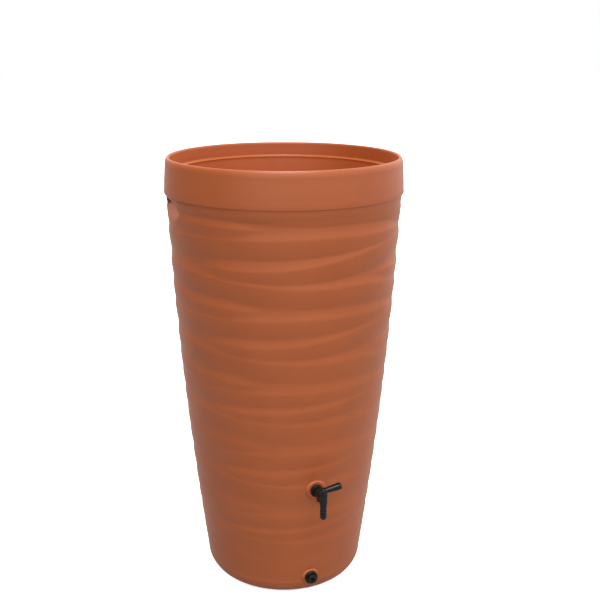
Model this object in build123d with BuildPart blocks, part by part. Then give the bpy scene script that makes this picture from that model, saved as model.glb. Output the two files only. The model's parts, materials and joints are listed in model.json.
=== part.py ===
from build123d import *
import math
import os

os.makedirs("parts", exist_ok=True)

# Rain barrel with a planter top. Millimetres, +Z up.
# The origin is the centre of the foot. The tap and the drain look along -Y.

# ---- driving dimensions: barrel ----
foot_radius = 210.0          # wall radius just above the foot rounding
foot_rounding = 50.0
belly_radius = 264.4         # wall radius half way up
belly_height = 544.0
shoulder_radius = 294.9      # wall radius where the shoulder steps in to the neck
shoulder_height = 1036.0
shoulder_step = 4.0          # height of the step from the shoulder to the neck
wall = 4.0
neck_radius = 289.0
bead_radius = 291.0          # rolled bead at the barrel's mouth
bead_height = 10.0
bead_chamfer = 2.0
mouth_height = 1084.0

tap_height = 323.5           # tap inlet axis
tap_pad_radius = 25.0
tap_pad_face = 247.5         # distance of the pad's face from the barrel's axis
drain_height = 58.0
drain_pad_radius = 22.0
drain_pad_face = 215.0
fitting_hole_radius = 13.5   # holes for the tap and the drain
filler_pad_radius = 32.0     # flat at the back for a rain diverter's hose
filler_pad_height = 900.0
filler_pad_face = 291.5
pad_depth = 30.0             # how far a pad reaches inwards; more than the wall's slope needs

grip_width = 130.0           # hand grips at +X and -X, under an arched lip
grip_lip = 1031.0            # top of the arch
grip_lip_drop = 14.5         # how far the arch falls towards its ends
grip_floor_end = 1008.0      # the grip's floor is upright down to here
grip_bottom = 985.0          # and slopes out to the wall by here
grip_depth = 14.0            # from the shoulder radius inwards

# ---- driving dimensions: planter ----
skirt_radius = 300.0         # at its lower edge
skirt_bottom = 1037.5
rim_radius = 295.5           # at the start of the rolled rim
rim_start = 1106.0
rim_top = 1125.0
rim_inner_radius = 284.0
bowl_top_radius = 276.5      # outside of the bowl, just under its shoulder
bowl_floor_radius = 262.0
bowl_floor_height = 961.0
bowl_rounding = 22.0
strainer_hole_radius = 12.0
strainer_flange_radius = 22.0
strainer_slot_radius = 1.6

# ---- driving dimensions: tap and drain ----
spout_distance = 297.0       # distance of the upright spout from the barrel's axis
gasket_radius = 16.0
gasket_thickness = 3.0
inner_gasket_radius = 18.0
inner_gasket_thickness = 2.5
flange_radius = 15.4
flange_thickness = 4.0
shank_radius = 13.0
shank_length = 22.0
nut_corner_radius = 20.0
nut_thickness = 8.0
drain_flange_radius = 17.0
drain_gasket_thickness = 2.5
drain_nut_corner_radius = 18.4
drain_shank_length = 20.0
drain_thread_radius = 9.0
plug_head_radius = 12.0
plug_head_height = 6.0
plug_shank_length = 16.0
plug_seal_thickness = 2.0
key_corner_radius = 5.2
key_depth = 8.0

clearance = 0.3              # between pieces that only rest on each other
running = 0.05               # radial clearance of a turning fit
through = 40.0               # longer than any wall or piece that a cut passes


def save(part, name):
    """Labels a finished piece and writes its STEP."""
    part.label = name
    export_step(part, f"parts/{name}.step")


def facing_front(distance, height):
    """A plane across the -Y axis at that distance from the barrel's axis, facing outwards."""
    return Plane(origin=(0, -distance, height), x_dir=(1, 0, 0), z_dir=(0, -1, 0))


def on_spout(height):
    """A level plane with its origin on the upright axis of the spout."""
    return Plane(origin=(0, -spout_distance, height))


# ---- barrel ----
def grip_cutter(side, margin):
    """What a grip takes from the wall: a scoop under an arched lip, grown by a margin on every side."""
    floor_radius = shoulder_radius - grip_depth - margin
    half_width = grip_width / 2 + margin
    with BuildPart() as cutter:
        with BuildSketch(Plane.XZ):
            with BuildLine():
                Polyline(
                    (side * floor_radius, grip_lip + margin),
                    (side * floor_radius, grip_floor_end - margin),
                    (side * (shoulder_radius - margin), grip_bottom - margin),
                    (side * (shoulder_radius + through), grip_bottom - margin),
                    (side * (shoulder_radius + through), grip_lip + margin),
                    close=True,
                )
            make_face()
        extrude(amount=half_width, both=True)
        with BuildSketch(Plane.YZ):
            with BuildLine():
                Line((-half_width, grip_bottom - margin), (half_width, grip_bottom - margin))
                Line((half_width, grip_bottom - margin), (half_width, grip_lip - grip_lip_drop + margin))
                ThreePointArc(
                    (half_width, grip_lip - grip_lip_drop + margin),
                    (0, grip_lip + margin),
                    (-half_width, grip_lip - grip_lip_drop + margin),
                )
                Line((-half_width, grip_lip - grip_lip_drop + margin), (-half_width, grip_bottom - margin))
            make_face()
        extrude(amount=side * (shoulder_radius + through), mode=Mode.INTERSECT)
    return cutter.part


# The wall is one flat arc from the foot rounding to the shoulder.
with BuildPart() as cavity:
    with BuildSketch(Plane.XZ):
        with BuildLine():
            floor_line = Line((0, wall), (foot_radius - foot_rounding, wall))
            RadiusArc(floor_line @ 1, (foot_radius - wall, foot_rounding), -(foot_rounding - wall))
            ThreePointArc(
                (foot_radius - wall, foot_rounding),
                (belly_radius - wall, belly_height),
                (shoulder_radius - wall, shoulder_height - wall),
            )
            Polyline(
                (shoulder_radius - wall, shoulder_height - wall),
                (neck_radius - wall, shoulder_height + wall),
                (neck_radius - wall, mouth_height + clearance),
                (0, mouth_height + clearance),
                (0, wall),
            )
        make_face()
    revolve(axis=Axis.Z)
    # hollow backs of the tap and drain pads, so that the nuts seat on flat wall
    with BuildSketch(facing_front(tap_pad_face - wall, tap_height)):
        Circle(tap_pad_radius - wall)
    extrude(amount=-pad_depth)
    with BuildSketch(facing_front(drain_pad_face - wall, drain_height)):
        Circle(drain_pad_radius - wall / 2)
    extrude(amount=-pad_depth)
    # the wall bulges inwards behind each grip
    add(grip_cutter(1, wall), mode=Mode.SUBTRACT)
    add(grip_cutter(-1, wall), mode=Mode.SUBTRACT)

with BuildPart() as barrel_body:
    with BuildSketch(Plane.XZ):
        with BuildLine():
            foot_line = Line((0, 0), (foot_radius - foot_rounding, 0))
            RadiusArc(foot_line @ 1, (foot_radius, foot_rounding), -foot_rounding)
            ThreePointArc(
                (foot_radius, foot_rounding),
                (belly_radius, belly_height),
                (shoulder_radius, shoulder_height),
            )
            Polyline(
                (shoulder_radius, shoulder_height),
                (neck_radius, shoulder_height + shoulder_step),
                (neck_radius, mouth_height - bead_height),
                (bead_radius, mouth_height - bead_height + bead_chamfer),
                (bead_radius, mouth_height - bead_chamfer),
                (bead_radius - bead_chamfer, mouth_height),
                (0, mouth_height),
                (0, 0),
            )
        make_face()
    revolve(axis=Axis.Z)
    # flat pads for the tap, the drain and a filler hose
    with BuildSketch(facing_front(tap_pad_face, tap_height)):
        Circle(tap_pad_radius)
    extrude(amount=-pad_depth)
    with BuildSketch(facing_front(drain_pad_face, drain_height)):
        Circle(drain_pad_radius)
    extrude(amount=-pad_depth)
    filler_plane = Plane(origin=(0, filler_pad_face, filler_pad_height), x_dir=(-1, 0, 0), z_dir=(0, 1, 0))
    with BuildSketch(filler_plane):
        Circle(filler_pad_radius)
    extrude(amount=-pad_depth)
    add(grip_cutter(1, 0), mode=Mode.SUBTRACT)
    add(grip_cutter(-1, 0), mode=Mode.SUBTRACT)
    add(cavity.part, mode=Mode.SUBTRACT)
    # holes for the tap and the drain
    with BuildSketch(facing_front(tap_pad_face + clearance, tap_height)):
        Circle(fitting_hole_radius)
    extrude(amount=-through, mode=Mode.SUBTRACT)
    with BuildSketch(facing_front(drain_pad_face + clearance, drain_height)):
        Circle(fitting_hole_radius)
    extrude(amount=-through, mode=Mode.SUBTRACT)
save(barrel_body.part, "barrel_body")

# ---- planter ----
ledge_height = mouth_height + clearance      # underside of the planter's resting ledge
rim_crown = (rim_radius + rim_inner_radius) / 2 - 1.5
rounding_reach = bowl_rounding * (1 - math.cos(math.pi / 4))
with BuildPart() as planter_bowl:
    with BuildSketch(Plane.XZ):
        with BuildLine():
            # outside: skirt, rolled rim, inside wall, ledge, bowl
            Line((skirt_radius, skirt_bottom), (rim_radius, rim_start))
            ThreePointArc((rim_radius, rim_start), (rim_radius - 3.4, rim_top - 5.4), (rim_crown, rim_top))
            ThreePointArc(
                (rim_crown, rim_top),
                (rim_inner_radius + 1.1, rim_top - 1.9),
                (rim_inner_radius, rim_top - 6),
            )
            Polyline(
                (rim_inner_radius, rim_top - 6),
                (rim_inner_radius - 1.5, ledge_height + 2 * wall),
                (bowl_top_radius - wall, ledge_height + wall),
                (bowl_floor_radius - wall, bowl_floor_height + bowl_rounding + wall),
            )
            ThreePointArc(
                (bowl_floor_radius - wall, bowl_floor_height + bowl_rounding + wall),
                (bowl_floor_radius - wall - rounding_reach, bowl_floor_height + wall + rounding_reach),
                (bowl_floor_radius - wall - bowl_rounding, bowl_floor_height + wall),
            )
            Polyline(
                (bowl_floor_radius - wall - bowl_rounding, bowl_floor_height + wall),
                (strainer_hole_radius, bowl_floor_height + wall),
                (strainer_hole_radius, bowl_floor_height),
                (bowl_floor_radius - wall - bowl_rounding, bowl_floor_height),
            )
            outer_rounding = bowl_rounding + wall
            outer_reach = outer_rounding * (1 - math.cos(math.pi / 4))
            ThreePointArc(
                (bowl_floor_radius - outer_rounding, bowl_floor_height),
                (bowl_floor_radius - outer_reach, bowl_floor_height + outer_reach),
                (bowl_floor_radius, bowl_floor_height + outer_rounding),
            )
            Polyline(
                (bowl_floor_radius, bowl_floor_height + outer_rounding),
                (bowl_top_radius, ledge_height),
                (rim_inner_radius + 2.5, ledge_height),
                (rim_inner_radius + wall, rim_start),
                (rim_radius - wall, rim_start),
                (skirt_radius - wall, skirt_bottom),
                (skirt_radius, skirt_bottom),
            )
        make_face()
    revolve(axis=Axis.Z)
save(planter_bowl.part, "planter_bowl")

strainer_base = bowl_floor_height + wall
with BuildPart() as planter_strainer:
    with BuildSketch(Plane.XY.offset(strainer_base)):
        Circle(strainer_flange_radius)
    extrude(amount=3)
    fillet(planter_strainer.edges().group_by(Axis.Z)[-1], radius=2)
    with BuildSketch(Plane.XY.offset(strainer_base)):
        Circle(strainer_hole_radius)
        Circle(strainer_hole_radius - 2, mode=Mode.SUBTRACT)
    extrude(amount=-(wall + 6))
    with BuildSketch(Plane.XY.offset(strainer_base - clearance)):
        Circle(strainer_slot_radius)
        with PolarLocations(strainer_hole_radius / 2 + 0.5, 6):
            Circle(strainer_slot_radius)
    extrude(amount=through, mode=Mode.SUBTRACT)
save(planter_strainer.part, "planter_strainer")

# ---- tap ----
neck_outer_radius = 10.5
inlet_bore_radius = 4.0
chamber_radius = 9.75        # outside of the upright valve chamber
outlet_radius = 7.6          # outside of the tap body's lower end
rotor_radius = 6.5
port_radius = 3.5
stem_radius = 4.5
stem_square = 6.4
stem_length = 6.0
screw_radius = 1.5
chamber_top = tap_height + 14
rotor_bottom = tap_height - 10
bonnet_height = 3.0
outlet_end = tap_height - 28    # lower end of the tap body
tail_end = tap_height - 52
tail_spigot_radius = 4.8
tail_spigot_length = 12.0
tail_bore_radius = 3.2
seal_bore_radius = 3.8
flange_back = tap_pad_face + gasket_thickness
flange_front = flange_back + flange_thickness
shank_end = tap_pad_face - shank_length
web_thickness = 5.0
web_drop = 26.0              # how far the web under the neck hangs below the inlet axis
spout_axis = Axis((0, -spout_distance, 0), (0, 0, 1))


def washer(name, distance, height, outer_radius, inner_radius, thickness):
    """A flat ring across -Y, its outer face at that distance, growing inwards."""
    with BuildPart() as ring:
        with BuildSketch(facing_front(distance, height)):
            Circle(outer_radius)
            Circle(inner_radius, mode=Mode.SUBTRACT)
        extrude(amount=-thickness)
    save(ring.part, name)


def lock_nut(name, distance, height, corner_radius):
    """A hexagon nut across -Y, its outer face at that distance, growing inwards."""
    with BuildPart() as nut:
        with BuildSketch(facing_front(distance, height)):
            RegularPolygon(corner_radius, 6)
        extrude(amount=-nut_thickness)
        chamfer(nut.edges().filter_by(Axis.Y), length=1.0)
        with BuildSketch(facing_front(distance, height)):
            Circle(shank_radius)
        extrude(amount=-nut_thickness, mode=Mode.SUBTRACT)
    save(nut.part, name)


with BuildPart() as tap_body:
    # shank, flange and neck along the inlet
    with BuildSketch(facing_front(shank_end, tap_height)):
        Circle(shank_radius)
    extrude(amount=flange_back - shank_end)
    with BuildSketch(facing_front(flange_back, tap_height)):
        Circle(flange_radius)
    extrude(amount=flange_thickness)
    fillet(tap_body.edges().filter_by(GeomType.CIRCLE).sort_by(Axis.Y)[0], radius=1.4)
    with BuildSketch(facing_front(flange_front, tap_height)):
        Circle(neck_outer_radius)
    extrude(amount=spout_distance - flange_front)
    # web that stiffens the neck from below
    with BuildSketch(Plane.YZ):
        with BuildLine():
            Polyline(
                (-flange_front, tap_height),
                (-flange_front, tap_height - web_drop + 7),
                (-flange_front - 5, tap_height - web_drop),
                (-flange_front - 11, tap_height - web_drop + 5),
                (-spout_distance, tap_height - web_drop + 12),
                (-spout_distance, tap_height),
                close=True,
            )
        make_face()
    extrude(amount=web_thickness / 2, both=True)
    # upright chamber, which tapers below the rotor
    with BuildSketch(Plane.XZ.offset(spout_distance)):
        with BuildLine():
            Polyline(
                (0, chamber_top),
                (chamber_radius, chamber_top),
                (chamber_radius, rotor_bottom + 2),
                (outlet_radius, outlet_end),
                (0, outlet_end),
                (0, chamber_top),
            )
        make_face()
    revolve(axis=spout_axis)
    # chamber bore, outlet bore and inlet bore
    with BuildSketch(on_spout(rotor_bottom - running)):
        Circle(rotor_radius + running)
    extrude(amount=through, mode=Mode.SUBTRACT)
    with BuildSketch(on_spout(outlet_end)):
        Circle(tail_spigot_radius)
    extrude(amount=rotor_bottom - outlet_end, mode=Mode.SUBTRACT)
    with BuildSketch(facing_front(shank_end, tap_height)):
        Circle(inlet_bore_radius)
    extrude(amount=spout_distance - shank_end, mode=Mode.SUBTRACT)
    with BuildSketch(facing_front(shank_end, tap_height)):
        Circle(shank_radius - 3)
    extrude(amount=flange_front - shank_end, mode=Mode.SUBTRACT)
save(tap_body.part, "tap_body")

tap_inner_face = tap_pad_face - wall
washer("tap_outer_gasket", flange_back, tap_height, gasket_radius, shank_radius, gasket_thickness)
washer("tap_inner_gasket", tap_inner_face, tap_height, inner_gasket_radius, shank_radius, inner_gasket_thickness)
lock_nut("tap_lock_nut", tap_inner_face - inner_gasket_thickness, tap_height, nut_corner_radius)

ring_heights = (tap_height - 7.5, tap_height + 8.5)
ring_section = 0.8
with BuildPart() as valve_plug:
    with BuildSketch(Plane.XZ.offset(spout_distance)):
        with BuildLine():
            Polyline(
                (0, rotor_bottom),
                (rotor_radius, rotor_bottom),
                (rotor_radius, chamber_top - running),
                (stem_radius, chamber_top - running),
                (stem_radius, chamber_top + bonnet_height + clearance),
                (0, chamber_top + bonnet_height + clearance),
                (0, rotor_bottom),
            )
        make_face()
    revolve(axis=spout_axis)
    with BuildSketch(on_spout(chamber_top + bonnet_height + clearance)):
        Rectangle(stem_square, stem_square)
    extrude(amount=stem_length)
    # grooves for the O-rings
    for height in ring_heights:
        with BuildSketch(on_spout(height - ring_section - running)):
            Circle(rotor_radius + running)
            Circle(rotor_radius - 2 * ring_section, mode=Mode.SUBTRACT)
        extrude(amount=2 * (ring_section + running), mode=Mode.SUBTRACT)
    # L-shaped port: down to the outlet, and sideways to the closed side
    with BuildSketch(on_spout(rotor_bottom)):
        Circle(port_radius)
    extrude(amount=tap_height - rotor_bottom, mode=Mode.SUBTRACT)
    with BuildSketch(Plane.YZ):
        with Locations((-spout_distance, tap_height)):
            Circle(port_radius)
    extrude(amount=-rotor_radius - port_radius, mode=Mode.SUBTRACT)
    # pilot for the lever screw
    with BuildSketch(on_spout(chamber_top)):
        Circle(screw_radius)
    extrude(amount=through, mode=Mode.SUBTRACT)
save(valve_plug.part, "valve_plug")

with BuildPart() as valve_o_rings:
    for height in ring_heights:
        with BuildSketch(Plane.XZ.offset(spout_distance)):
            with Locations((rotor_radius - ring_section, height)):
                Circle(ring_section)
        revolve(axis=spout_axis)
save(valve_o_rings.part, "valve_o_rings")

with BuildPart() as valve_bonnet:
    with BuildSketch(on_spout(chamber_top)):
        Circle(chamber_radius - 0.75)
        Circle(stem_radius + running, mode=Mode.SUBTRACT)
    extrude(amount=bonnet_height)
save(valve_bonnet.part, "valve_bonnet")

lever_bottom = chamber_top + bonnet_height + clearance
lever_hub_height = 11.2
lever_arm_height = 5.5       # of the arm's middle, above the hub's underside
lever_length = 45.0
lever_rise = 10.0            # degrees above level
lever_root = (13.5, 11.5)    # width and height of the arm at the hub
lever_tip = (17.0, 15.5)
lever_tip_length = 8.0       # the arm's end is rounded off over this length
screw_seat = lever_bottom + 8.0
screw_head_radius = 3.4
rise = math.radians(lever_rise)
arm_start = Plane(
    origin=(0, -spout_distance, lever_bottom + lever_arm_height),
    x_dir=(0, 1, 0),
    z_dir=(math.cos(rise), 0, math.sin(rise)),
)
with BuildPart() as tap_lever:
    with BuildSketch(on_spout(lever_bottom)):
        Circle(chamber_radius)
    extrude(amount=lever_hub_height)
    fillet(tap_lever.edges().group_by(Axis.Z)[-1], radius=1.5)
    with BuildSketch(arm_start):
        RectangleRounded(lever_root[0], lever_root[1], 4.5)
    with BuildSketch(arm_start.offset(lever_length - lever_tip_length)):
        RectangleRounded(lever_tip[0], lever_tip[1], 5.5)
    with BuildSketch(arm_start.offset(lever_length)):
        RectangleRounded(lever_tip[0] - 1, lever_tip[1] - 1, 5.5)
    loft(ruled=True)
    # the arm's lower side is cut level with the hub's underside
    with BuildSketch(on_spout(lever_bottom)):
        Rectangle(2 * lever_length, 2 * lever_length)
    extrude(amount=-through, mode=Mode.SUBTRACT)
    # socket for the stem, and a countersunk seat for the screw
    with BuildSketch(on_spout(lever_bottom)):
        Rectangle(stem_square, stem_square)
    extrude(amount=stem_length, mode=Mode.SUBTRACT)
    with BuildSketch(on_spout(lever_bottom)):
        Circle(screw_radius)
    extrude(amount=through, mode=Mode.SUBTRACT)
    with BuildSketch(on_spout(screw_seat)):
        Circle(screw_head_radius + clearance)
    extrude(amount=through, mode=Mode.SUBTRACT)
save(tap_lever.part, "tap_lever")

with BuildPart() as lever_screw:
    with BuildSketch(on_spout(screw_seat)):
        Circle(screw_head_radius)
    extrude(amount=2.0)
    fillet(lever_screw.edges().group_by(Axis.Z)[-1], radius=0.8)
    with BuildSketch(on_spout(screw_seat)):
        Circle(screw_radius)
    extrude(amount=-9)
    # cross recess
    with BuildSketch(on_spout(screw_seat + 2.0)):
        Rectangle(4.0, 0.8)
        Rectangle(0.8, 4.0)
    extrude(amount=-1.0, mode=Mode.SUBTRACT)
save(lever_screw.part, "lever_screw")

barb_radius = 8.4
barb_pitch = 7.4
barb_count = 3
barb_land = 1.5
tail_root_radius = 6.9
tail_tip_radius = 6.2
with BuildPart() as hose_tail:
    with BuildSketch(Plane.XZ.offset(spout_distance)):
        with BuildLine():
            outline = [(tail_bore_radius, tail_end), (tail_tip_radius, tail_end)]
            for ring in range(barb_count - 1, -1, -1):
                crest = outlet_end - 2.0 - ring * barb_pitch
                outline += [(barb_radius, crest - barb_land), (barb_radius, crest)]
                outline += [(tail_root_radius, crest + 0.6)]
            outline += [(tail_root_radius, outlet_end), (tail_spigot_radius, outlet_end)]
            outline += [(tail_spigot_radius, outlet_end + tail_spigot_length)]
            outline += [(tail_bore_radius, outlet_end + tail_spigot_length)]
            Polyline(*outline, close=True)
        make_face()
    revolve(axis=spout_axis)
save(hose_tail.part, "hose_tail")

with BuildPart() as hose_tail_seal:
    with BuildSketch(on_spout(outlet_end + tail_spigot_length)):
        Circle(tail_spigot_radius)
        Circle(seal_bore_radius, mode=Mode.SUBTRACT)
    extrude(amount=2)
save(hose_tail_seal.part, "hose_tail_seal")

# ---- drain ----
drain_flange_back = drain_pad_face + drain_gasket_thickness
drain_flange_front = drain_flange_back + flange_thickness
washer(
    "drain_gasket", drain_flange_back, drain_height, drain_flange_radius, shank_radius, drain_gasket_thickness
)
lock_nut("drain_lock_nut", drain_pad_face - wall, drain_height, drain_nut_corner_radius)

with BuildPart() as drain_bushing:
    with BuildSketch(facing_front(drain_pad_face - drain_shank_length, drain_height)):
        Circle(shank_radius)
    extrude(amount=drain_shank_length + drain_gasket_thickness)
    with BuildSketch(facing_front(drain_flange_back, drain_height)):
        Circle(drain_flange_radius)
    extrude(amount=flange_thickness)
    fillet(drain_bushing.edges().filter_by(GeomType.CIRCLE).sort_by(Axis.Y)[0], radius=1.5)
    with BuildSketch(facing_front(drain_pad_face - drain_shank_length, drain_height)):
        Circle(drain_thread_radius)
    extrude(amount=through, mode=Mode.SUBTRACT)
save(drain_bushing.part, "drain_bushing")

plug_head_back = drain_flange_front + plug_seal_thickness
with BuildPart() as drain_plug:
    with BuildSketch(facing_front(plug_head_back, drain_height)):
        Circle(plug_head_radius)
    extrude(amount=plug_head_height)
    fillet(drain_plug.edges().filter_by(GeomType.CIRCLE).sort_by(Axis.Y)[0], radius=1.5)
    with BuildSketch(facing_front(plug_head_back, drain_height)):
        Circle(drain_thread_radius - running)
    extrude(amount=-plug_shank_length)
    # hexagon key recess
    with BuildSketch(facing_front(plug_head_back + plug_head_height, drain_height)):
        RegularPolygon(key_corner_radius, 6)
    extrude(amount=-key_depth, mode=Mode.SUBTRACT)
save(drain_plug.part, "drain_plug")

with BuildPart() as drain_plug_seal:
    with BuildSketch(facing_front(plug_head_back - clearance, drain_height)):
        Circle(plug_head_radius - 0.5)
        Circle(drain_thread_radius + running, mode=Mode.SUBTRACT)
    extrude(amount=-(plug_seal_thickness - 2 * clearance))
save(drain_plug_seal.part, "drain_plug_seal")
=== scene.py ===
import json
import math
from collections import namedtuple

import bmesh
import bpy
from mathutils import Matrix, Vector


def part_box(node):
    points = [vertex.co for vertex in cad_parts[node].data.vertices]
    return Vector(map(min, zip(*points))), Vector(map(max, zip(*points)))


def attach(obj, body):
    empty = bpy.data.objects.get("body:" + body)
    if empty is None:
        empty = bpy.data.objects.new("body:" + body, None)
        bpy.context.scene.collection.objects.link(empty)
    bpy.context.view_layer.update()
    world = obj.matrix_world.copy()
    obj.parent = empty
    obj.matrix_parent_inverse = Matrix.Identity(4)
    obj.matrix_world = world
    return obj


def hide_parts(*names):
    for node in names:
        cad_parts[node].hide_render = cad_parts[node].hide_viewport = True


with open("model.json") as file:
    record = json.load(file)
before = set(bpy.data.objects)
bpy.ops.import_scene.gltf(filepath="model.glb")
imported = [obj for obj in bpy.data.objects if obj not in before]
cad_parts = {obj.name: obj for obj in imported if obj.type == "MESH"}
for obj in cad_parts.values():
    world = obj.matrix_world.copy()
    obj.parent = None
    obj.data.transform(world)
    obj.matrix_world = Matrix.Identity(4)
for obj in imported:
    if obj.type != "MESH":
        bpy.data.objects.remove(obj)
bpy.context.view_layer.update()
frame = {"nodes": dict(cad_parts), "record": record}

# Metres and degrees, +Z up, in the frame's own axes. Angles round the barrel start at the tap, on -Y,
# and grow towards +X.

# ---- driving sizes, from the frame ----
barrel_low, barrel_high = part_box("barrel_body")
planter_low, planter_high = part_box("planter_bowl")
tap_low, tap_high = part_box("tap_outer_gasket")
drain_low, drain_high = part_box("drain_gasket")

SHOULDER_RADIUS = barrel_high.x
MOUTH_HEIGHT = barrel_high.z
SKIRT_RADIUS = planter_high.x
SKIRT_BOTTOM = 1.0375
TAP_HEIGHT = (tap_low.z + tap_high.z) / 2
TAP_PAD_FACE = -tap_high.y
DRAIN_HEIGHT = (drain_low.z + drain_high.z) / 2
DRAIN_PAD_FACE = -drain_high.y

# ---- the barrel's wall ----
FOOT_RADIUS = 0.210
FOOT_ROUNDING = 0.050
BELLY_RADIUS = 0.2644
BELLY_HEIGHT = 0.544
SHOULDER_HEIGHT = 1.036
NECK_RADIUS = 0.289
WALL = 0.0045
TAP_PAD_RADIUS = 0.025
DRAIN_PAD_RADIUS = 0.022
FILLER_PAD_RADIUS = 0.032
FILLER_PAD_HEIGHT = 0.900
FILLER_PAD_FACE = 0.2915
BEAD_INSET = 0.0036        # a low bead runs round each pad, this far inside its edge
BEAD_HEIGHT = 0.0009
GRIP_HALF_ANGLE = 12.7     # half the grip's width, seen from the axis
GRIP_LIP_HEIGHT = 1.031
GRIP_LIP_DROP = 0.0145
GRIP_DEPTH = 0.014         # from the shoulder's radius inwards
GRIP_FLOOR_END = 1.018     # the grip's floor is upright down to here
GRIP_BOTTOM = 0.966        # and meets the wall here
GRIP_EDGE = (0.88, 1.02)   # its side edge fades over this share of the half angle

# ---- the folds pressed into the wall ----
FOLD_DEPTH = 0.0036        # at the shoulder
LOW_FOLD_SHARE = 0.45      # the share of that depth that is kept low down
FOLD_SPACING = 0.176
FOLD_RISE = 0.030          # the wall swells out to a crest over this height
FOLD_FALL = 0.044          # and sinks back slowly below it
FOLD_TURN = 19.0           # the pattern's zero lies this far clockwise of the tap
PAD_FADE = 0.020           # the folds die out over this width round a pad
BAND_HEIGHT = 1.030        # the plain band under the planter ends here
BAND_FALL = 0.024
# Heights at which the upper and the lower main fold cross the front, from the top down.
FRONT_CRESTS = (0.971, 0.851, 0.778, 0.665, 0.592, 0.502, 0.425, 0.329, 0.248, 0.165, 0.090)
FRONT_PHASES = (0.0, 0.615)
SHOULDER_PHASE, FLOOR_PHASE = -0.34, 5.55


RADIAN = math.pi / 180.0


# ---- small helpers for node trees ----
class Term:
    """A number in a node tree. Sums and products of terms read as formulas."""

    def __init__(self, tree, socket):
        self.tree, self.socket = tree, socket

    def math(self, operation, *others, clamp=False):
        node = self.tree.nodes.new("ShaderNodeMath")
        node.operation, node.use_clamp = operation, clamp
        for slot, value in enumerate((self, *others)):
            plug(self.tree, value, node.inputs[slot])
        return Term(self.tree, node.outputs[0])

    def __add__(self, other):
        return self.math("ADD", other)

    def __sub__(self, other):
        return self.math("SUBTRACT", other)

    def __rsub__(self, other):
        return (self * -1.0) + other

    def __mul__(self, other):
        return self.math("MULTIPLY", other)

    def __truediv__(self, other):
        return self.math("DIVIDE", other)

    __radd__, __rmul__ = __add__, __mul__

    def smooth_step(self, low, high):
        """0 below low and 1 above high, with a smooth ramp between them."""
        node = self.tree.nodes.new("ShaderNodeMapRange")
        node.interpolation_type = "SMOOTHSTEP"
        plug(self.tree, self, node.inputs["Value"])
        plug(self.tree, low, node.inputs["From Min"])
        plug(self.tree, high, node.inputs["From Max"])
        return Term(self.tree, node.outputs["Result"])


def plug(tree, value, socket):
    """Links a term to a socket, or sets a plain number on it."""
    if isinstance(value, Term):
        tree.links.new(value.socket, socket)
    else:
        socket.default_value = value


def mix(a, b, share):
    """a where share is 0 and b where it is 1."""
    return (b - a) * share + a


def curve_term(term, points):
    """A smooth curve through given points (x, y), both from 0 to 1."""
    node = term.tree.nodes.new("ShaderNodeFloatCurve")
    curve = node.mapping.curves[0]
    for x, y in points[1:-1]:
        curve.points.new(x, y)
    curve.points[0].location = points[0]
    curve.points[-1].location = points[-1]
    node.mapping.update()
    plug(term.tree, term, node.inputs["Value"])
    return Term(term.tree, node.outputs[0])


def mesh_object(name, vertices, faces):
    """A new mesh object at the origin."""
    mesh = bpy.data.meshes.new(name)
    mesh.from_pydata(vertices, [], faces)
    mesh.update()
    obj = bpy.data.objects.new(name, mesh)
    bpy.context.scene.collection.objects.link(obj)
    return obj


def finished(obj, body, replaced=(), material=None):
    """Gives a piece its material and its body, and hides the CAD nodes that it stands for."""
    if material is not None:
        obj.data.materials.clear()
        obj.data.materials.append(material)
    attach(obj, body)
    if replaced:
        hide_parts(*replaced)
    return obj


def arc(centre, radius, start, end, steps, tall=1.0):
    """Points (radius from the axis, height) along an arc, or a taller oval; angles in degrees."""
    points = []
    for step in range(steps + 1):
        angle = math.radians(start + (end - start) * step / steps)
        points.append((centre[0] + radius * math.cos(angle), centre[1] + radius * tall * math.sin(angle)))
    return points


# ---- the barrel's shell ----
def wall_circle():
    """Centre and radius of the wall's arc, through the foot, the belly and the shoulder."""
    (x1, y1), (x2, y2), (x3, y3) = (
        (FOOT_RADIUS, FOOT_ROUNDING),
        (BELLY_RADIUS, BELLY_HEIGHT),
        (SHOULDER_RADIUS, SHOULDER_HEIGHT),
    )
    d = 2 * (x1 * (y2 - y3) + x2 * (y3 - y1) + x3 * (y1 - y2))
    s1, s2, s3 = x1 * x1 + y1 * y1, x2 * x2 + y2 * y2, x3 * x3 + y3 * y3
    cx = (s1 * (y2 - y3) + s2 * (y3 - y1) + s3 * (y1 - y2)) / d
    cy = (s1 * (x3 - x2) + s2 * (x1 - x3) + s3 * (x2 - x1)) / d
    return cx, cy, math.hypot(x1 - cx, y1 - cy)


ARC_X, ARC_Z, ARC_RADIUS = wall_circle()


def wall_radius(height):
    """The wall's outer radius, before the folds are pressed in."""
    return ARC_X + math.sqrt(ARC_RADIUS ** 2 - (height - ARC_Z) ** 2)


# The flat pads that fittings sit on. "wall" is the wall's radius at the pad's height.
Pad = namedtuple("Pad", "at_back height radius face wall")
PADS = (
    Pad(False, TAP_HEIGHT, TAP_PAD_RADIUS, TAP_PAD_FACE, wall_radius(TAP_HEIGHT)),
    Pad(False, DRAIN_HEIGHT, DRAIN_PAD_RADIUS, DRAIN_PAD_FACE, FOOT_RADIUS),
    Pad(True, FILLER_PAD_HEIGHT, FILLER_PAD_RADIUS, FILLER_PAD_FACE, wall_radius(FILLER_PAD_HEIGHT)),
)
FOOT_CENTRE = (FOOT_RADIUS - FOOT_ROUNDING, FOOT_ROUNDING)


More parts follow.
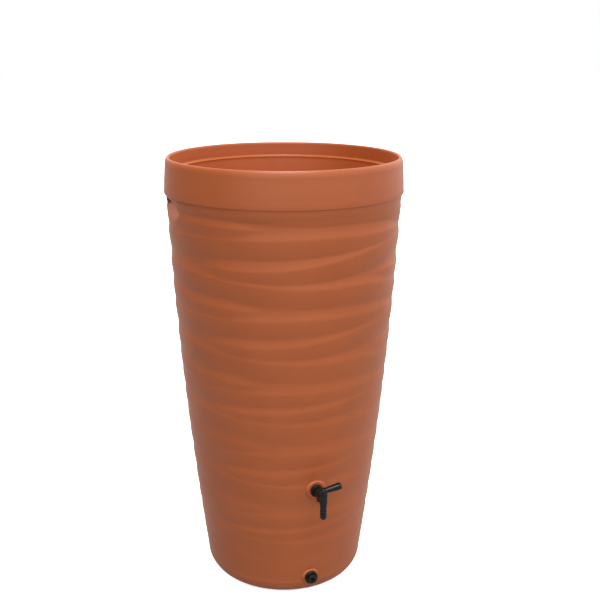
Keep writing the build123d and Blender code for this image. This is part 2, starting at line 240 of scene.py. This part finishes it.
def spread(start, end, coarse, zones):
    """Places from start to end: coarse steps, and finer ones inside the zones (centre, half width, step)."""
    places = [start]
    edges = []
    for centre, half, step in sorted(zones):
        edges.append((centre - half, centre + half, step))
    for low, high, step in edges + [(end, end, coarse)]:
        gap = low - places[-1]
        count = max(1, round(gap / coarse))
        first = places[-1]
        places += [first + gap * i / count for i in range(1, count + 1)]
        if high > low:
            count = 2 * max(1, round((high - low) / step / 2))
            places += [low + (high - low) * i / count for i in range(1, count + 1)]
    return places


def inner_bulge(radius, height, angle):
    """The inner wall's radius: it stands further in behind the grips."""
    side = abs(abs(angle) - 90.0)
    if side > GRIP_HALF_ANGLE + 1.5 or not GRIP_BOTTOM - 0.02 < height < GRIP_LIP_HEIGHT + 0.02:
        return radius
    return min(radius, (SHOULDER_RADIUS - GRIP_DEPTH - WALL) / math.cos(math.radians(side)))


def outer_rows():
    """Rows (radius, height, 1 where the wall's own curve sets the radius) from the foot to the mouth."""
    rows = [(r, 0.0, 0.0) for r in (0.045, 0.09, 0.13)]
    rows += [(r, z, 0.0) for r, z in arc(FOOT_CENTRE, FOOT_ROUNDING, -90.0, -24.0, 14)[:-1]]
    heights = spread(rows[-1][1] + 0.003, SHOULDER_HEIGHT, 0.0042, [
        (DRAIN_HEIGHT, 0.0265, 0.0011), (TAP_HEIGHT, 0.036, 0.00127), (FILLER_PAD_HEIGHT, 0.037, 0.0026),
        (1.008, 0.024, 0.0018),
    ])
    rows += [(0.0, z, 1.0) for z in heights]
    rows += [(r, z, 0.0) for r, z in (
        (SHOULDER_RADIUS - 0.0008, SHOULDER_HEIGHT + 0.0022),
        (SHOULDER_RADIUS - 0.003, SHOULDER_HEIGHT + 0.0038),
        (NECK_RADIUS + 0.0006, SHOULDER_HEIGHT + 0.0046), (NECK_RADIUS, SHOULDER_HEIGHT + 0.006),
        (NECK_RADIUS, MOUTH_HEIGHT - 0.012), (NECK_RADIUS + 0.0006, MOUTH_HEIGHT - 0.0100),
    )]
    bead_radius = 0.0042
    bead_centre = (NECK_RADIUS - 0.0022, MOUTH_HEIGHT - bead_radius)
    return rows + [(r, z, 0.0) for r, z in arc(bead_centre, bead_radius, -30.0, 200.0, 9)]


def inner_rows():
    """Rows down the inner wall, from the mouth to the floor."""
    rows = [(NECK_RADIUS - WALL, z, 0.0) for z in (MOUTH_HEIGHT - 0.02, 1.052, 1.044, SHOULDER_HEIGHT)]
    heights = [1.015, 0.985, 0.965] + [0.93 - 0.05 * i for i in range(18)]
    rows += [(wall_radius(z) - WALL, z, 0.0) for z in heights]
    rows += [(r, z, 0.0) for r, z in arc(FOOT_CENTRE, FOOT_ROUNDING - WALL, 0.0, -90.0, 7)[1:]]
    return rows + [(0.08, WALL, 0.0)]


def shell_blank():
    """The turned blank of the shell, closed at the foot, with its angles and heights as attributes."""
    angles = spread(-180.0, 180.0, 3.0, [
        (-171.5, 7.0, 0.7), (-90.0, 15.0, 1.3), (0.0, 8.7, 0.3), (90.0, 15.0, 1.3), (171.5, 7.0, 0.7),
    ])[:-1]
    rows = outer_rows()
    inside = len(rows)
    rows += inner_rows()
    vertices, fields = [], []
    for row, (row_radius, height, outer) in enumerate(rows):
        for angle in angles:
            radius = inner_bulge(row_radius, height, angle) if row >= inside else row_radius
            turn = math.radians(angle)
            vertices.append((radius * math.sin(turn), -radius * math.cos(turn), height))
            fields.append((angle, height, radius, outer))
    columns = len(angles)
    faces = []
    for row in range(len(rows) - 1):
        for column in range(columns):
            a, b = row * columns + column, row * columns + (column + 1) % columns
            faces.append((a, b, b + columns, a + columns))
    vertices += [(0.0, 0.0, 0.0), (0.0, 0.0, WALL)]
    fields += [(0.0, 0.0, 0.0, 0.0), (0.0, WALL, 0.0, 0.0)]
    bottom, floor, last = len(vertices) - 2, len(vertices) - 1, (len(rows) - 1) * columns
    for column in range(columns):
        following = (column + 1) % columns
        faces.append((bottom, following, column))
        faces.append((floor, last + column, last + following))
    blank = mesh_object("barrel_shell", vertices, faces)
    for index, name in enumerate(("angle", "height", "radius", "outer")):
        attribute = blank.data.attributes.new(name, "FLOAT", "POINT")
        attribute.data.foreach_set("value", [f[index] for f in fields])
    return blank


# The two folds of the pattern. Each starts somewhere and runs 310 degrees round the barrel; a second copy
# of it starts half a turn on. Points are (degrees along it, phase): one phase is the pattern's height.
LONG_FOLD_START, SHORT_FOLD_START = -45.0, 45.0
FOLD_LENGTH = 310.0
LONG_FOLD = (
    (0, 0.385), (37, 0.385), (61, 0.323), (80, 0.246), (98, 0.180), (111, 0.154), (135, 0.138),
    (160, 0.072), (175, 0.056), (217, 0.015), (241, 0.0), (270, 0.015), (310, 0.045),
)
SHORT_FOLD = (
    (0, 0.500), (21, 0.513), (45, 0.528), (70, 0.482), (85, 0.503), (105, 0.538), (151, 0.615),
    (170, 0.615), (185, 0.641), (200, 0.697), (216, 0.810), (225, 0.826), (250, 0.851), (265, 0.877),
    (285, 0.887), (310, 0.892),
)


def fold_height(angle, phase, start, points, fades):
    """How far the wall stands below one fold's crest, in fold depths: 0 on it, -1 well away from it."""
    along = angle - start
    crest = curve_term(along / FOLD_LENGTH, [(x / FOLD_LENGTH, y) for x, y in points])
    below = (phase - crest).math("FLOORED_MODULO", 1.0) * FOLD_SPACING
    fall = (below / FOLD_FALL).math("POWER", 2.0) * -1.0
    above = ((FOLD_SPACING - below) / FOLD_RISE).math("MINIMUM", 1.0)
    rise = (above - 2.0) * above
    shown = along.smooth_step(0.0, fades[0]) * (1.0 - along.smooth_step(FOLD_LENGTH - fades[1], FOLD_LENGTH))
    return fall.math("SMOOTH_MAX", rise, 0.04) - (1.0 - shown)


def pulled_round(along, up, radius):
    """Pulls the blank's square mesh into circles near a round pad, and leaves the rest alone."""
    square = along.math("ABSOLUTE").math("MAXIMUM", up.math("ABSOLUTE"))
    around = (along * along + up * up).math("SQRT").math("MAXIMUM", 1e-6)
    near = 1.0 - square.smooth_step(radius + 0.004, radius + 0.016)
    return mix(1.0, square / around, near)


def from_pad(angle, pad):
    """How many degrees round the barrel a place lies from a pad's middle."""
    return angle.math("WRAP", 0.0, 360.0) - 180.0 if pad.at_back else angle


def pulled_to_pads(raw_angle, raw_height):
    """Angle and height, with the mesh pulled into circles near each pad."""
    angle, height = raw_angle, raw_height
    for pad in PADS:
        across = from_pad(raw_angle, pad)
        up = raw_height - pad.height
        pull = pulled_round(across * (RADIAN * pad.wall), up, pad.radius) - 1.0
        angle = angle + across * pull
        height = height + up * pull
    return angle, height


def arched(height, raw_height, across, arch, outer):
    """Height, with the mesh's rows pulled down to follow the arch of a grip's lip."""
    near_lip = raw_height.smooth_step(0.97, GRIP_LIP_HEIGHT)
    near_lip = near_lip * (1.0 - raw_height.smooth_step(GRIP_LIP_HEIGHT + 0.001, SHOULDER_HEIGHT))
    near_grip = 1.0 - across.math("ABSOLUTE").smooth_step(1.05, 1.35)
    return height + arch * near_lip * near_grip * outer


def plain_wall(height):
    """The wall's radius before the folds: the arc, and the rounding at the foot."""
    foot_depth = (FOOT_ROUNDING - height).math("MAXIMUM", 0.0)
    foot_wall = (FOOT_ROUNDING ** 2 - foot_depth * foot_depth).math("SQRT") + (FOOT_RADIUS - FOOT_ROUNDING)
    above = height - ARC_Z
    arc_wall = (ARC_RADIUS ** 2 - above * above).math("SQRT") + ARC_X
    return mix(foot_wall, arc_wall, height.math("GREATER_THAN", FOOT_ROUNDING))


def pattern_phase(height):
    """The phase that a height has in the fold pattern. The curve's values are kept from 0 to 1."""
    top, full = 1.0, 8.0
    spacing = [(SHOULDER_HEIGHT, SHOULDER_PHASE)]
    for index, crest_height in enumerate(FRONT_CRESTS):
        spacing.append((crest_height, index // 2 + FRONT_PHASES[index % 2]))
    spacing.append((0.0, FLOOR_PHASE))
    points = [(z / MOUTH_HEIGHT, (phase + top) / full) for z, phase in reversed(spacing)]
    points.append((1.0, (SHOULDER_PHASE - 0.25 + top) / full))
    return curve_term(height / MOUTH_HEIGHT, points) * full - top


def fold_relief(angle, height):
    """How far the folds leave the wall sunk, in fold depths, from -1 to 0."""
    phase = pattern_phase(height)
    pattern = angle + FOLD_TURN
    heights = []
    for start, fold, fades in (
        (LONG_FOLD_START, LONG_FOLD, (18.0, 26.0)), (SHORT_FOLD_START, SHORT_FOLD, (20.0, 24.0)),
    ):
        first = (pattern - start).math("FLOORED_MODULO", 180.0) + start
        for half_turns in (0.0, 180.0):
            heights.append(fold_height(first + half_turns, phase, start, fold, fades))
    band = ((BAND_HEIGHT - height).math("MAXIMUM", 0.0) / BAND_FALL).math("POWER", 2.0) * -1.0
    relief = heights[0]
    for other in heights[1:] + [band]:
        relief = relief.math("SMOOTH_MAX", other, 0.06)
    return relief.math("MINIMUM", 0.0).math("MAXIMUM", -1.0)


def fold_share(angle, height, wall):
    """The share of their depth that the folds have here: they die out at the foot and round the pads."""
    share = height.smooth_step(0.06, 0.22) * mix(LOW_FOLD_SHARE, 1.0, height.smooth_step(0.45, 0.95))
    for pad in PADS:
        along = from_pad(angle, pad) * RADIAN * wall
        up = height - pad.height
        away = (along * along + up * up).math("SQRT")
        share = share * away.smooth_step(pad.radius * 0.9, pad.radius + PAD_FADE)
    return share


def grips_scooped(wall, height, side_angle, across, arch, grip_depth):
    """The wall with the grips cut in below their lip, and a mask of the band under the lip where the
    material paints shade.
    """
    under_lip = (arch + GRIP_LIP_HEIGHT) - height
    sloping = (GRIP_FLOOR_END - height).math("MAXIMUM", 0.0) * (1.0 / (GRIP_FLOOR_END - GRIP_BOTTOM))
    floor = (sloping - 1.0) * grip_depth + SHOULDER_RADIUS
    floor = floor / (side_angle * RADIAN).math("COSINE")
    scooped = wall.math("SMOOTH_MIN", floor, 0.004)
    within = 1.0 - across.math("ABSOLUTE").smooth_step(*GRIP_EDGE)
    # painted shade: a narrow band just under each grip's lip, darkened in the material in place of the shade
    # that the lip casts
    painted_lip_shade = under_lip.smooth_step(-0.001, 0.001) * (1.0 - under_lip.smooth_step(0.0075, 0.0145))
    return mix(wall, scooped, under_lip.smooth_step(0.0, 0.0022) * within), painted_lip_shade * within


def pads_faced(x, y, height, outer):
    """The y of every point, with the flat face of each pad and its low bead."""
    for pad in PADS:
        facing = 1.0 if pad.at_back else -1.0
        up = height - pad.height
        away = (x * x + up * up).math("SQRT")
        on_pad = 1.0 - away.smooth_step(pad.radius - 0.0022, pad.radius + 0.0016)
        on_pad = on_pad * outer * (y * facing).math("GREATER_THAN", 0.0)
        bead = 1.0 - (away - (pad.radius - BEAD_INSET)).math("ABSOLUTE").smooth_step(0.0, BEAD_INSET)
        y = mix(y, bead * (facing * BEAD_HEIGHT) + facing * pad.face, on_pad)
    return y


def press_folds(blank, material):
    """Geometry Nodes: rolls the blank's wall to its arc and presses in the folds, the pads and the grips."""
    tree = bpy.data.node_groups.new("press_folds", "GeometryNodeTree")
    face = tree.interface
    face.new_socket("Geometry", in_out="INPUT", socket_type="NodeSocketGeometry")
    names = {}
    for name, value in (("Fold Depth", FOLD_DEPTH), ("Grip Depth", GRIP_DEPTH)):
        socket = face.new_socket(name, in_out="INPUT", socket_type="NodeSocketFloat")
        socket.default_value = value
        names[name] = socket.identifier
    socket = face.new_socket("Material", in_out="INPUT", socket_type="NodeSocketMaterial")
    names["Material"] = socket.identifier
    face.new_socket("Geometry", in_out="OUTPUT", socket_type="NodeSocketGeometry")
    inside = tree.nodes.new("NodeGroupInput")
    outside = tree.nodes.new("NodeGroupOutput")

    def read(name):
        node = tree.nodes.new("GeometryNodeInputNamedAttribute")
        node.data_type = "FLOAT"
        node.inputs["Name"].default_value = name
        return Term(tree, node.outputs["Attribute"])

    raw_angle, raw_height, radius, outer = read("angle"), read("height"), read("radius"), read("outer")
    angle, height = pulled_to_pads(raw_angle, raw_height)

    # "across" is 0 in the middle of a grip and 1 or -1 at its sides
    side_angle = angle.math("ABSOLUTE") - 90.0
    across = side_angle / GRIP_HALF_ANGLE
    arch = (across * across).math("MINIMUM", 1.6) * -GRIP_LIP_DROP
    height = arched(height, raw_height, across, arch, outer)

    wall = plain_wall(height)
    relief = fold_relief(angle, height)
    share = fold_share(angle, height, wall)
    wall = wall + relief * Term(tree, inside.outputs["Fold Depth"]) * share
    grip_depth = Term(tree, inside.outputs["Grip Depth"])
    wall, painted_lip_shade = grips_scooped(wall, height, side_angle, across, arch, grip_depth)

    # outer points go to the wall, the others stay on the blank
    radius = mix(radius, wall, outer)
    turn = angle * RADIAN
    x = radius * turn.math("SINE")
    y = pads_faced(x, radius * turn.math("COSINE") * -1.0, height, outer)

    place = tree.nodes.new("ShaderNodeCombineXYZ")
    for value, socket in ((x, "X"), (y, "Y"), (height, "Z")):
        plug(tree, value, place.inputs[socket])
    move = tree.nodes.new("GeometryNodeSetPosition")
    tree.links.new(inside.outputs["Geometry"], move.inputs["Geometry"])
    tree.links.new(place.outputs[0], move.inputs["Position"])
    geometry = move.outputs[0]
    # the fold height, and the mask of the painted shade under the grips' lips, are stored for the material
    for name, value in (("fold", relief * share * outer + 1.0), ("painted_lip_shade", painted_lip_shade * outer)):
        keep = tree.nodes.new("GeometryNodeStoreNamedAttribute")
        keep.data_type, keep.domain = "FLOAT", "POINT"
        keep.inputs["Name"].default_value = name
        tree.links.new(geometry, keep.inputs["Geometry"])
        plug(tree, value, keep.inputs["Value"])
        geometry = keep.outputs[0]
    realize = tree.nodes.new("GeometryNodeRealizeInstances")
    dress = tree.nodes.new("GeometryNodeSetMaterial")
    tree.links.new(geometry, realize.inputs[0])
    tree.links.new(realize.outputs[0], dress.inputs["Geometry"])
    tree.links.new(inside.outputs["Material"], dress.inputs["Material"])
    tree.links.new(dress.outputs[0], outside.inputs[0])

    modifier = blank.modifiers.new("press_folds", "NODES")
    modifier.node_group = tree
    modifier[names["Fold Depth"]] = FOLD_DEPTH
    modifier[names["Grip Depth"]] = GRIP_DEPTH
    modifier[names["Material"]] = material
    return baked(blank)


def baked(obj):
    """Turns a piece with live modifiers into a plain smooth mesh."""
    graph = bpy.context.evaluated_depsgraph_get()
    mesh = bpy.data.meshes.new_from_object(obj.evaluated_get(graph))
    obj.modifiers.clear()
    obj.data = mesh
    mesh.name = obj.name
    mesh.shade_smooth()
    return obj


def turned(name, outline, segments=192):
    """A closed ring turned about the barrel's axis: the outline runs round its section once."""
    vertices, faces = [], []
    rows = len(outline)
    for step in range(segments):
        turn = 2 * math.pi * step / segments
        for radius, height in outline:
            vertices.append((radius * math.cos(turn), radius * math.sin(turn), height))
    for step in range(segments):
        for row in range(rows):
            a, b = step * rows + row, step * rows + (row + 1) % rows
            c, d = ((step + 1) % segments) * rows + (row + 1) % rows, ((step + 1) % segments) * rows + row
            faces.append((a, d, c, b))
    obj = mesh_object(name, vertices, faces)
    form = bmesh.new()
    form.from_mesh(obj.data)
    bmesh.ops.recalc_face_normals(form, faces=form.faces)
    form.to_mesh(obj.data)
    form.free()
    obj.data.shade_smooth()
    return obj


def planter_outline():
    """Section of the planter's outside: skirt, rolled rim, inside wall and ledge."""
    rim_top = planter_high.z
    rim_radius, crown, inner = 0.2955, 0.2883, 0.284
    points = arc((SKIRT_RADIUS - 0.0018, SKIRT_BOTTOM + 0.0016), 0.0016, -90.0, 0.0, 4)
    points += [(SKIRT_RADIUS - 0.0012, 1.052), (0.2984, 1.066), (0.2972, 1.083), (0.2963, 1.095)]
    outer_reach, outer_drop = rim_radius - crown, 0.019
    inner_reach, inner_drop = crown - inner, 0.006
    points += arc((crown, rim_top - outer_drop), outer_reach, 0.0, 90.0, 12, outer_drop / outer_reach)
    points += arc((crown, rim_top - inner_drop), inner_reach, 90.0, 180.0, 7, inner_drop / inner_reach)[1:]
    points += [(inner, rim_top - 0.012), (0.2832, 1.104), (0.2826, 1.095)]
    points += arc((0.2796, 1.0915), 0.0030, 0.0, -85.0, 4)
    points += [(0.2745, 1.0882), (0.2725, 1.0872)]
    points += arc((0.2700, 1.0846), 0.0028, 60.0, 8.0, 3)
    return points


def bowl_outline():
    """The rest of the planter's section, from the ledge down to the drain hole and back up outside."""
    floor = planter_low.z
    corner = (0.238, 0.987)
    points = [(0.2715, 1.078), (0.2690, 1.040), (0.2660, 1.010), (0.2632, 0.995), (0.2606, 0.988)]
    points += arc(corner, 0.020, 5.0, -90.0, 8)
    points += [(0.160, floor + 0.0052), (0.080, floor + 0.0042)]
    points += [(0.020, floor + 0.004), (0.012, floor + 0.004)]
    points += [(0.012, floor), (0.080, floor), (0.160, floor)]
    points += arc(corner, 0.0245, -90.0, 5.0, 8)
    points += [(0.2668, 1.010), (0.2700, 1.040), (0.2738, 1.066), (0.2765, 1.0843)]
    points += [(0.2865, 1.0843), (0.2880, 1.095), (0.2880, 1.106), (0.2915, 1.106)]
    points += [(0.2925, 1.080), (0.2945, 1.060), (0.2962, SKIRT_BOTTOM + 0.0005)]
    return points


# ---- materials ----
def grain_group():
    """Shared surface of moulded plastic: a fine grain, slow unevenness and a few pale scuffs."""
    tree = bpy.data.node_groups.new("moulded_grain", "ShaderNodeTree")
    face = tree.interface
    for name, value in (("Grain Size", 0.0012), ("Patch Size", 0.12), ("Scuff Size", 0.02)):
        face.new_socket(name, in_out="INPUT", socket_type="NodeSocketFloat").default_value = value
    for name in ("Grain", "Patches", "Scuffs"):
        face.new_socket(name, in_out="OUTPUT", socket_type="NodeSocketFloat")
    inside, outside = tree.nodes.new("NodeGroupInput"), tree.nodes.new("NodeGroupOutput")
    coordinates = tree.nodes.new("ShaderNodeTexCoord")

    def noise(size_name, detail, roughness, stretch=1.0):
        node = tree.nodes.new("ShaderNodeTexNoise")
        node.inputs["Detail"].default_value = detail
        node.inputs["Roughness"].default_value = roughness
        scale = Term(tree, inside.outputs[size_name]).math("POWER", -1.0)
        plug(tree, scale, node.inputs["Scale"])
        squeeze = tree.nodes.new("ShaderNodeMapping")
        squeeze.inputs["Scale"].default_value = (1.0, 1.0, stretch)
        tree.links.new(coordinates.outputs["Object"], squeeze.inputs["Vector"])
        tree.links.new(squeeze.outputs[0], node.inputs["Vector"])
        return Term(tree, node.outputs[0])

    grain = noise("Grain Size", 3.0, 0.6)
    patches = noise("Patch Size", 4.0, 0.55)
    scuffs = noise("Scuff Size", 6.0, 0.7, 3.0).smooth_step(0.62, 0.78)
    for value, name in ((grain, "Grain"), (patches, "Patches"), (scuffs, "Scuffs")):
        plug(tree, value, outside.inputs[name])
    return tree


def colour_mix(tree, share, first, second):
    """A colour node between two colours."""
    node = tree.nodes.new("ShaderNodeMix")
    node.data_type = "RGBA"
    plug(tree, share, node.inputs["Factor"])
    for colour, slot in ((first, 6), (second, 7)):
        if isinstance(colour, tuple):
            node.inputs[slot].default_value = (*colour, 1.0)
        else:
            tree.links.new(colour, node.inputs[slot])
    return node.outputs[2]


def plastic(name, colour, pale, dark, roughness, grain_size, grain_height, specular=0.5, folded=False):
    """Moulded plastic: the shared grain drives its tint, its roughness and its bump."""
    material = bpy.data.materials.new(name)
    material.use_nodes = True
    tree = material.node_tree
    shader = tree.nodes["Principled BSDF"]
    grain = tree.nodes.new("ShaderNodeGroup")
    grain.node_tree = GRAIN
    grain.inputs["Grain Size"].default_value = grain_size
    patches = Term(tree, grain.outputs["Patches"])
    tint = colour_mix(tree, patches.smooth_step(0.35, 0.70), colour, dark)
    tint = colour_mix(tree, Term(tree, grain.outputs["Scuffs"]) * 0.25, tint, pale)
    if folded:
        # painted shade: the wall is tinted darker where the folds sink in, standing in for the shade in
        # their hollows
        fold = tree.nodes.new("ShaderNodeAttribute")
        fold.attribute_name = "fold"
        painted_fold_shade = 1.0 - Term(tree, fold.outputs["Fac"]).smooth_step(0.0, 0.7)
        tint = colour_mix(tree, painted_fold_shade * 0.30, tint, dark)
        # painted shade: the band under each grip's lip is tinted a deep dark brown and made fully rough,
        # standing in for the shade under the lip
        painted_lip_shade = tree.nodes.new("ShaderNodeAttribute")
        painted_lip_shade.attribute_name = "painted_lip_shade"
        painted_shade_colour = tuple(0.35 * value for value in dark)
        painted_lip_shade_share = Term(tree, painted_lip_shade.outputs["Fac"])
        tint = colour_mix(tree, painted_lip_shade_share * 0.9, tint, painted_shade_colour)
    tree.links.new(tint, shader.inputs["Base Color"])
    uneven = Term(tree, grain.outputs["Grain"]) * 0.10 + patches * 0.10 + (roughness - 0.10)
    if folded:
        uneven = mix(uneven, 1.0, painted_lip_shade_share)
    plug(tree, uneven, shader.inputs["Roughness"])
    shader.inputs["Specular IOR Level"].default_value = specular
    bump = tree.nodes.new("ShaderNodeBump")
    bump.inputs["Strength"].default_value = 0.35
    bump.inputs["Distance"].default_value = grain_height
    plug(tree, Term(tree, grain.outputs["Grain"]), bump.inputs["Height"])
    tree.links.new(bump.outputs[0], shader.inputs["Normal"])
    return material


GRAIN = grain_group()
TERRACOTTA = plastic(
    "terracotta_plastic", (0.332, 0.080, 0.020), (0.44, 0.15, 0.060), (0.318, 0.074, 0.018),
    0.38, 0.0011, 0.0002, specular=0.42, folded=True,
)
TERRACOTTA_SMOOTH = plastic(
    "terracotta_planter", (0.335, 0.080, 0.021), (0.44, 0.15, 0.060), (0.320, 0.074, 0.019),
    0.38, 0.0011, 0.0002, specular=0.42,
)
BLACK = plastic(
    "black_plastic", (0.005, 0.0053, 0.0057), (0.03, 0.031, 0.033), (0.003, 0.0032, 0.0035),
    0.36, 0.0006, 0.0001, specular=0.3,
)
RUBBER = plastic(
    "black_rubber", (0.007, 0.007, 0.007), (0.03, 0.03, 0.03), (0.005, 0.005, 0.005),
    0.60, 0.0005, 0.0001, specular=0.2,
)
STEEL = plastic(
    "screw_steel", (0.50, 0.50, 0.51), (0.65, 0.65, 0.66), (0.40, 0.40, 0.41), 0.30, 0.0004, 0.00005,
)
STEEL.node_tree.nodes["Principled BSDF"].inputs["Metallic"].default_value = 1.0

FINISHES = {
    "terracotta_plastic": TERRACOTTA_SMOOTH,
    "black_plastic": BLACK,
    "black_rubber": RUBBER,
    "screw_steel": STEEL,
}
for row in frame["record"]["subparts"]:
    node = frame["nodes"][row["node"]]
    node.data.materials.clear()
    node.data.materials.append(FINISHES[row["material_slot"]])

# ---- pieces ----
shell = press_folds(shell_blank(), TERRACOTTA)
finished(shell, "barrel", ["barrel_body"])

planter = turned("planter_top", planter_outline() + bowl_outline())
finished(planter, "planter", ["planter_bowl"], TERRACOTTA_SMOOTH)


# ---- floor, light and camera ----
FACING = 19.0 * RADIAN          # the camera's side lies this far clockwise of the tap
CAMERA_PLACE = (-0.7356, -2.1362, 1.4043)
CAMERA_DOWN = 16.186            # how far it looks down
LENS_LENGTH, SENSOR_WIDTH = 54.2, 36.0      # both in millimetres
LENS_SHIFT = 0.0269


def pale_floor():
    """A wide pale floor. It throws back less light than it shows, so that the folds keep their shading."""
    floor = mesh_object("floor", [(-30, -30, 0), (30, -30, 0), (30, 30, 0), (-30, 30, 0)], [(0, 1, 2, 3)])
    material = bpy.data.materials.new("pale_floor")
    material.use_nodes = True
    tree = material.node_tree
    shader = tree.nodes["Principled BSDF"]
    path = tree.nodes.new("ShaderNodeLightPath")
    seen = Term(tree, path.outputs["Is Camera Ray"])
    shown = colour_mix(tree, seen, (0.22, 0.22, 0.22), (0.95, 0.95, 0.95))
    tree.links.new(shown, shader.inputs["Base Color"])
    shader.inputs["Roughness"].default_value = 0.20
    shader.inputs["Specular IOR Level"].default_value = 0.3
    floor.data.materials.append(material)


def add_light(lamp, place, target):
    """Puts a lamp at a place, facing the target."""
    light = bpy.data.objects.new(lamp.name, lamp)
    light.location = place
    light.rotation_euler = (Vector(target) - Vector(place)).to_track_quat("-Z", "Y").to_euler()
    bpy.context.scene.collection.objects.link(light)
    return light


def round_the_view(angle, distance, height):
    """A place that many degrees clockwise of the camera's side."""
    turn = math.radians(angle) - FACING
    return (distance * math.sin(turn), -distance * math.cos(turn), height)


def studio():
    world = bpy.data.worlds.new("studio")
    world.use_nodes = True
    tree = world.node_tree
    background = tree.nodes["Background"]
    direction = tree.nodes.new("ShaderNodeTexCoord")

    def towards(angle):
        """How far a ray points that many degrees clockwise of the camera's side."""
        node = tree.nodes.new("ShaderNodeVectorMath")
        node.operation = "DOT_PRODUCT"
        node.inputs[1].default_value = round_the_view(angle, 1.0, 0.0)
        tree.links.new(direction.outputs["Generated"], node.inputs[0])
        return Term(tree, node.outputs["Value"])

    path = tree.nodes.new("ShaderNodeLightPath")
    seen = Term(tree, path.outputs["Is Camera Ray"])
    glow = 1.22 - towards(-95.0).smooth_step(0.35, 0.88) * 1.12
    plug(tree, mix(glow, 1.0, seen), background.inputs["Strength"])
    background.inputs["Color"].default_value = (1.0, 1.0, 1.0, 1.0)
    bpy.context.scene.world = world
    middle = (0.0, 0.0, 0.6)
    sun = bpy.data.lights.new("key_sun", "SUN")
    sun.energy, sun.angle = 1.1, math.radians(50.0)
    add_light(sun, round_the_view(5.0, 2.0, 3.1), middle)
    wash = bpy.data.lights.new("top_wash", "SUN")
    wash.energy, wash.angle = 2.4, math.radians(20.0)
    wash.use_shadow = False
    add_light(wash, round_the_view(5.0, 1.0, 5.3), middle)
    for name, angle, energy in (("left_rim", -143.0, 3.0), ("right_rim", 143.0, 2.6)):
        rim = bpy.data.lights.new(name, "SUN")
        rim.energy, rim.angle = energy, math.radians(40.0)
        add_light(rim, round_the_view(angle, 3.0, 1.6), middle).visible_glossy = False


def camera():
    lens = bpy.data.cameras.new("camera")
    lens.sensor_width = SENSOR_WIDTH
    lens.lens = LENS_LENGTH
    lens.shift_x = LENS_SHIFT
    viewer = bpy.data.objects.new("camera", lens)
    viewer.location = CAMERA_PLACE
    viewer.rotation_euler = (math.radians(90.0 - CAMERA_DOWN), 0.0, -FACING)
    bpy.context.scene.collection.objects.link(viewer)
    bpy.context.scene.camera = viewer


pale_floor()
studio()
camera()
bpy.context.scene.view_settings.view_transform = "Standard"
